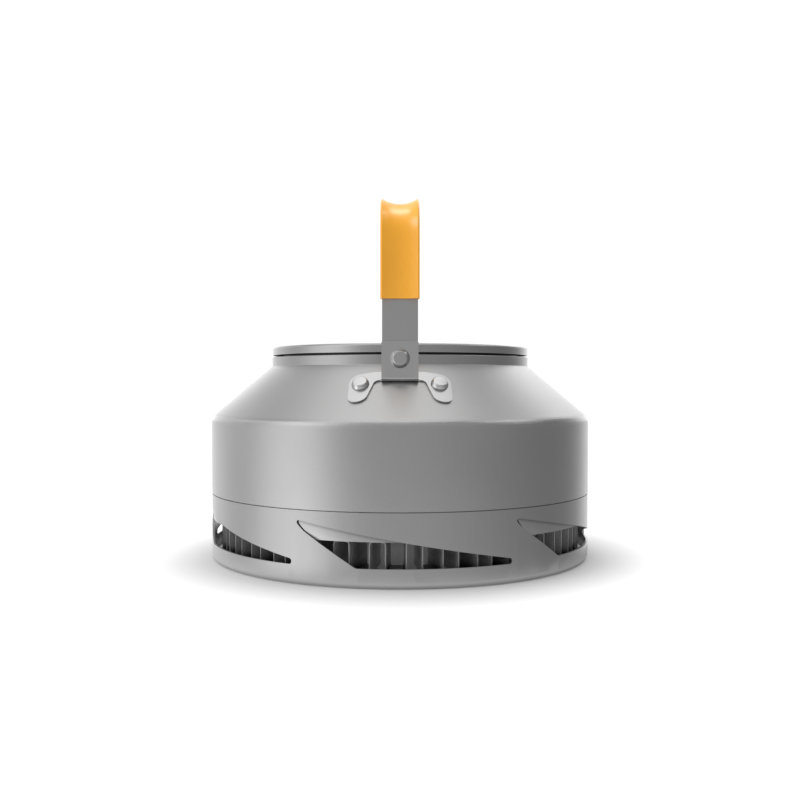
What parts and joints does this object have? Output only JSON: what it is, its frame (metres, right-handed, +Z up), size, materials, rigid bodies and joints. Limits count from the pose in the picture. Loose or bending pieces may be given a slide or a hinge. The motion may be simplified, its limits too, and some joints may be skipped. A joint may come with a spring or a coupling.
{
  "type": "camping kettle",
  "caption": "Squat aluminium camping kettle: slotted skirt over heat-exchanger fins, conical shoulder, short spout, lift-off lid with knob, folding bail handle with soft grip.",
  "frame": {"origin": "on the kettle's axis, on the surface that it stands on", "axes": "+Z up along the kettle's axis, +Y towards the spout, +X across; the bail handle's pivots lie on a line along Y"},
  "size_m": [0.152, 0.154, 0.1353],
  "materials": {
    "anodised_aluminium": "fine bead-blasted, hard anodised grey",
    "fin_aluminium": "anodised, heat-darkened",
    "bright_aluminium": "satin, uncoated",
    "steel": "plain turned",
    "orange_silicone": "matte moulded silicone"
  },
  "bodies": {
    "kettle": {"pot_body": "anodised_aluminium", "fin_band": "fin_aluminium", "skirt": "anodised_aluminium", "spout": "anodised_aluminium", "front_bracket": "bright_aluminium", "rear_bracket": "bright_aluminium", "front_left_rivet": "bright_aluminium", "front_right_rivet": "bright_aluminium", "rear_left_rivet": "bright_aluminium", "rear_right_rivet": "bright_aluminium", "front_pivot_rivet": "anodised_aluminium", "rear_pivot_rivet": "anodised_aluminium", "front_pivot_washer": "steel", "rear_pivot_washer": "steel"},
    "handle": {"handle_strap": "anodised_aluminium", "handle_grip": "orange_silicone"},
    "lid": {"lid": "anodised_aluminium", "lid_knob": "orange_silicone", "knob_washer": "steel", "knob_screw": "steel"}
  },
  "joints": [
    {"name": "handle_fold", "type": "hinge", "parent": "kettle", "child": "handle", "pos_m": [0, 0, 0.07771], "axis": [0, 1, 0], "range_deg": [-84, 84]},
    {"name": "lid_lift", "type": "slide", "parent": "kettle", "child": "lid", "axis": [0, 0, 1], "range_m": [0, 0.03]}
  ]
}
